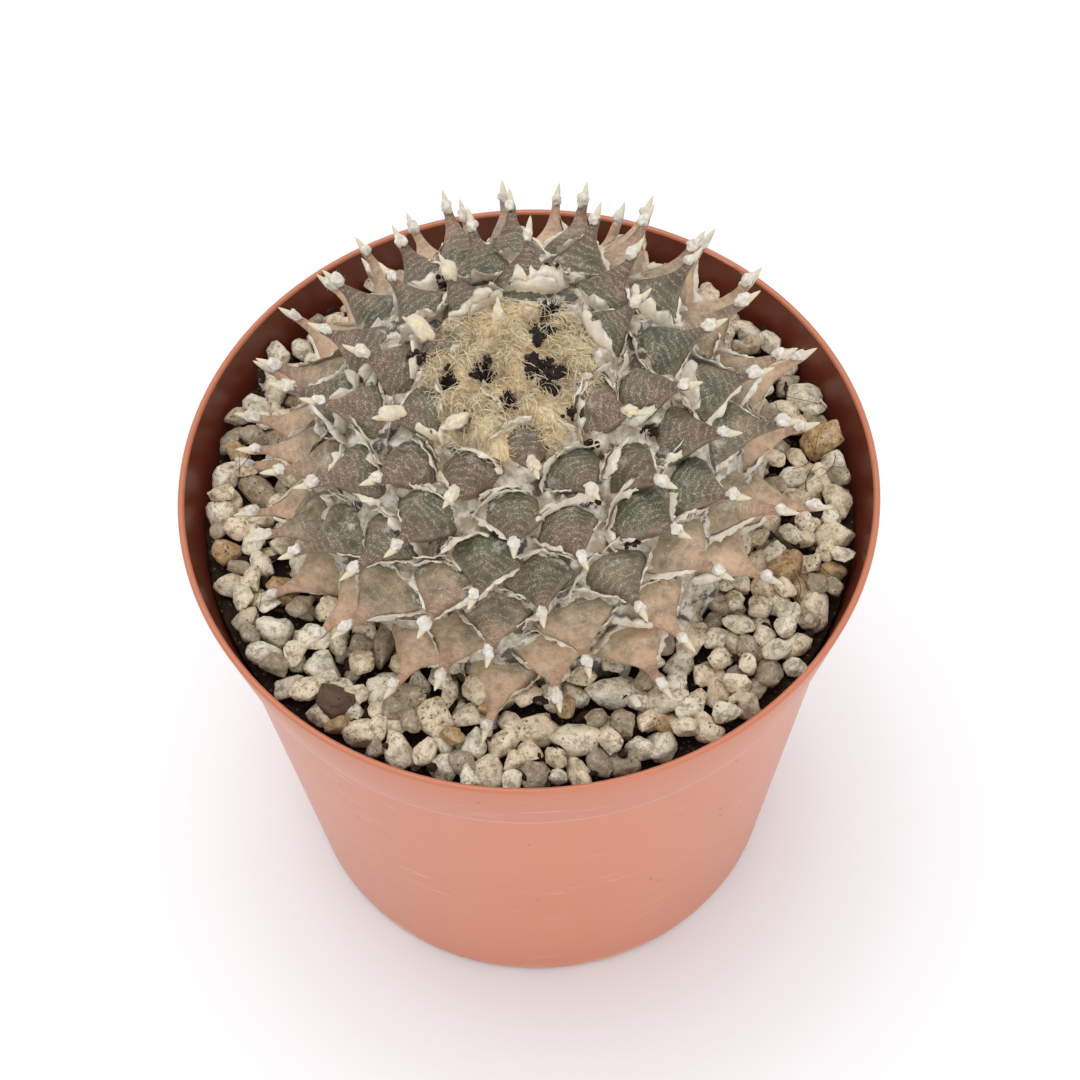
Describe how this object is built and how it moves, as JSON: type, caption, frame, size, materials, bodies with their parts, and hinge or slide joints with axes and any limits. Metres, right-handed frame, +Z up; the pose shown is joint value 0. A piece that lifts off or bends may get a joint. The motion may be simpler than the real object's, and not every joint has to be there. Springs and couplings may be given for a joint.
{
  "type": "potted round cactus",
  "caption": "Low round cactus with a spiral of pointed tubercles and a woolly crown, growing in pumice and soil in a tapered plastic nursery pot.",
  "frame": {"origin": "centre of the pot's standing ring, on the surface that the pot stands on", "axes": "+Z up along the pot's axis, -Y towards the side that the plant leans to, +X to the right seen from that side"},
  "size_m": [0.15, 0.15, 0.1701],
  "materials": {
    "pot_plastic": "satin",
    "soil": "matte",
    "pumice": "matte",
    "lava_stone": "matte",
    "plant_skin": "matte",
    "wool": "matte",
    "dried_flower": "matte"
  },
  "bodies": {
    "root": {"pot": "pot_plastic", "soil": "soil", "gravel_bed": "pumice", "cactus": "plant_skin", "crown_wool": "wool", "dried_flower_1": "dried_flower", "dried_flower_2": "dried_flower", "dried_flower_3": "dried_flower", "dried_flower_4": "dried_flower", "dried_flower_5": "dried_flower", "dried_flower_6": "dried_flower", "stone_01": "pumice", "stone_02": "pumice", "stone_03": "pumice", "stone_04": "pumice", "stone_05": "pumice", "stone_06": "pumice", "stone_07": "pumice", "stone_08": "pumice", "stone_09": "lava_stone", "stone_10": "pumice", "stone_11": "pumice", "stone_12": "pumice", "stone_13": "pumice", "stone_14": "pumice", "stone_15": "pumice", "stone_16": "pumice", "stone_17": "pumice", "stone_18": "lava_stone", "stone_19": "pumice", "stone_20": "pumice", "stone_21": "pumice", "stone_22": "pumice", "stone_23": "pumice", "stone_24": "pumice", "stone_25": "pumice", "stone_26": "pumice", "stone_27": "lava_stone", "stone_28": "pumice", "stone_29": "pumice", "stone_30": "pumice", "stone_31": "pumice", "stone_32": "pumice", "stone_33": "pumice", "stone_34": "pumice", "stone_35": "pumice", "stone_36": "lava_stone", "stone_37": "pumice", "stone_38": "pumice", "stone_39": "pumice", "stone_40": "pumice", "stone_41": "pumice", "stone_42": "pumice", "stone_43": "pumice", "stone_44": "pumice"}
  },
  "joints": []
}
